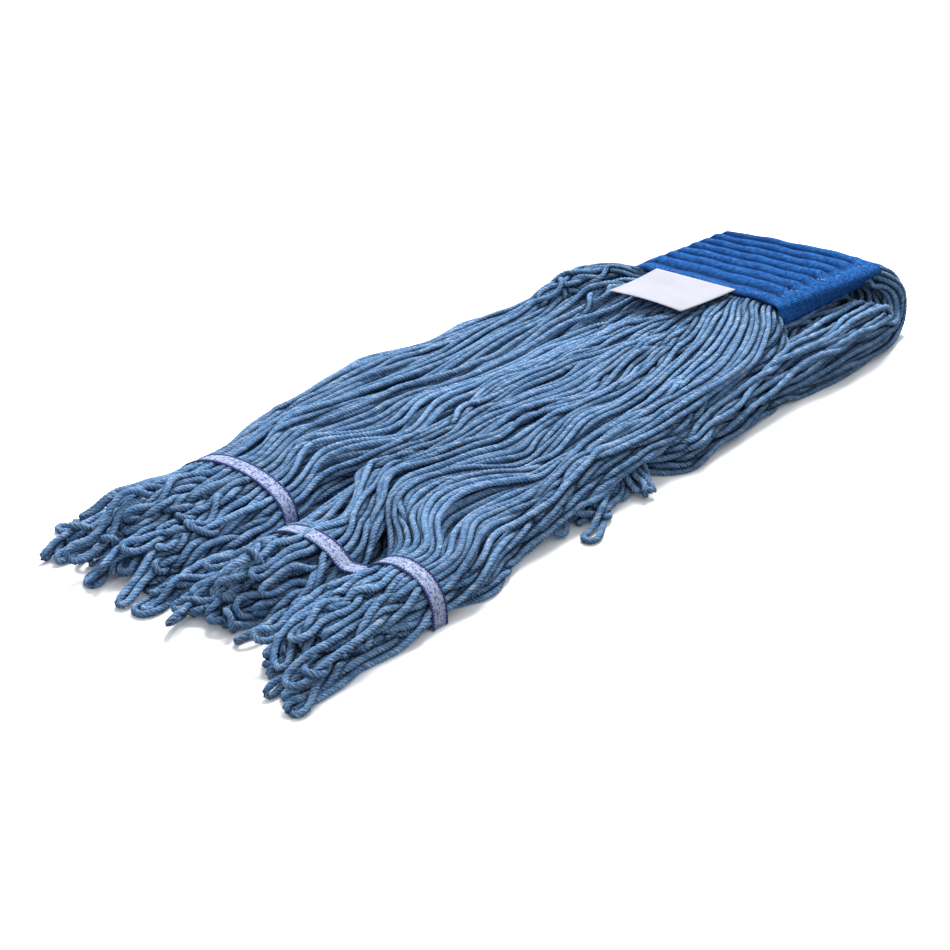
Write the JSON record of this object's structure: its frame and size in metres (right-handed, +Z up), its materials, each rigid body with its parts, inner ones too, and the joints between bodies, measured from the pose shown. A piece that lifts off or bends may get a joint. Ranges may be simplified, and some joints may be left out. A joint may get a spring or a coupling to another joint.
{
  "type": "string mop head",
  "caption": "Looped-end string mop head: a wide flat mesh headband sewn over cotton yarn, with a stitched tail band across each half of the yarn and a blank tab label.",
  "frame": {"origin": "centre of the whole mop head's footprint, on the floor that it lies on", "axes": "+X across the headband, +Y from the front tail's loops to the headband, +Z up"},
  "size_m": [0.3, 0.735, 0.0672],
  "materials": {
    "yarn": "four-ply cotton blend yarn, mid blue with lighter fibres, fuzzy and matt",
    "mesh": "ribbed knitted polyester mesh, deep blue, matt with a slight sheen",
    "thread": "spun sewing thread, deep blue",
    "tape": "knitted tape, pale lavender flecked with blue",
    "label": "plain pale non-woven label cloth, blank"
  },
  "bodies": {
    "headband": {"headband_top_panel": "mesh", "headband_bottom_panel": "mesh", "headband_hem_left": "mesh", "headband_hem_right": "mesh", "headband_yarn_core": "yarn", "headband_stitch_row_1": "thread", "headband_stitch_row_2": "thread", "headband_stitch_row_3": "thread", "headband_stitch_row_4": "thread", "headband_stitch_row_5": "thread", "headband_stitch_row_6": "thread", "headband_stitch_row_7": "thread", "back_curl_left": "yarn", "back_curl_middle": "yarn", "back_curl_right": "yarn"},
    "front_half": {"front_yarn_left": "yarn", "front_yarn_middle": "yarn", "front_yarn_right": "yarn", "front_loops_left": "yarn", "front_loops_middle": "yarn", "front_loops_right": "yarn", "front_tail_band_upper": "tape", "front_tail_band_lower": "tape", "front_tail_band_thread_inner": "thread", "front_tail_band_thread_outer": "thread"},
    "back_half": {"back_yarn_left": "yarn", "back_yarn_middle": "yarn", "back_yarn_right": "yarn", "back_loops_left": "yarn", "back_loops_middle": "yarn", "back_loops_right": "yarn", "back_tail_band_upper": "tape", "back_tail_band_lower": "tape", "back_tail_band_thread_inner": "thread", "back_tail_band_thread_outer": "thread"},
    "label_tab": {"label": "label"}
  },
  "joints": [
    {"name": "front_half_lift", "type": "hinge", "parent": "headband", "child": "front_half", "pos_m": [0.0115, 0.204, 0.065], "axis": [-1, 0, 0], "range_deg": [0, 90]},
    {"name": "back_half_swing", "type": "hinge", "parent": "headband", "child": "back_half", "pos_m": [0.0115, 0.334, 0], "axis": [1, 0, 0], "range_deg": [0, 90]},
    {"name": "label_flip", "type": "hinge", "parent": "front_half", "child": "label_tab", "pos_m": [0.0115, 0.2035, 0.0675], "axis": [-1, 0, 0], "range_deg": [0, 80]}
  ]
}
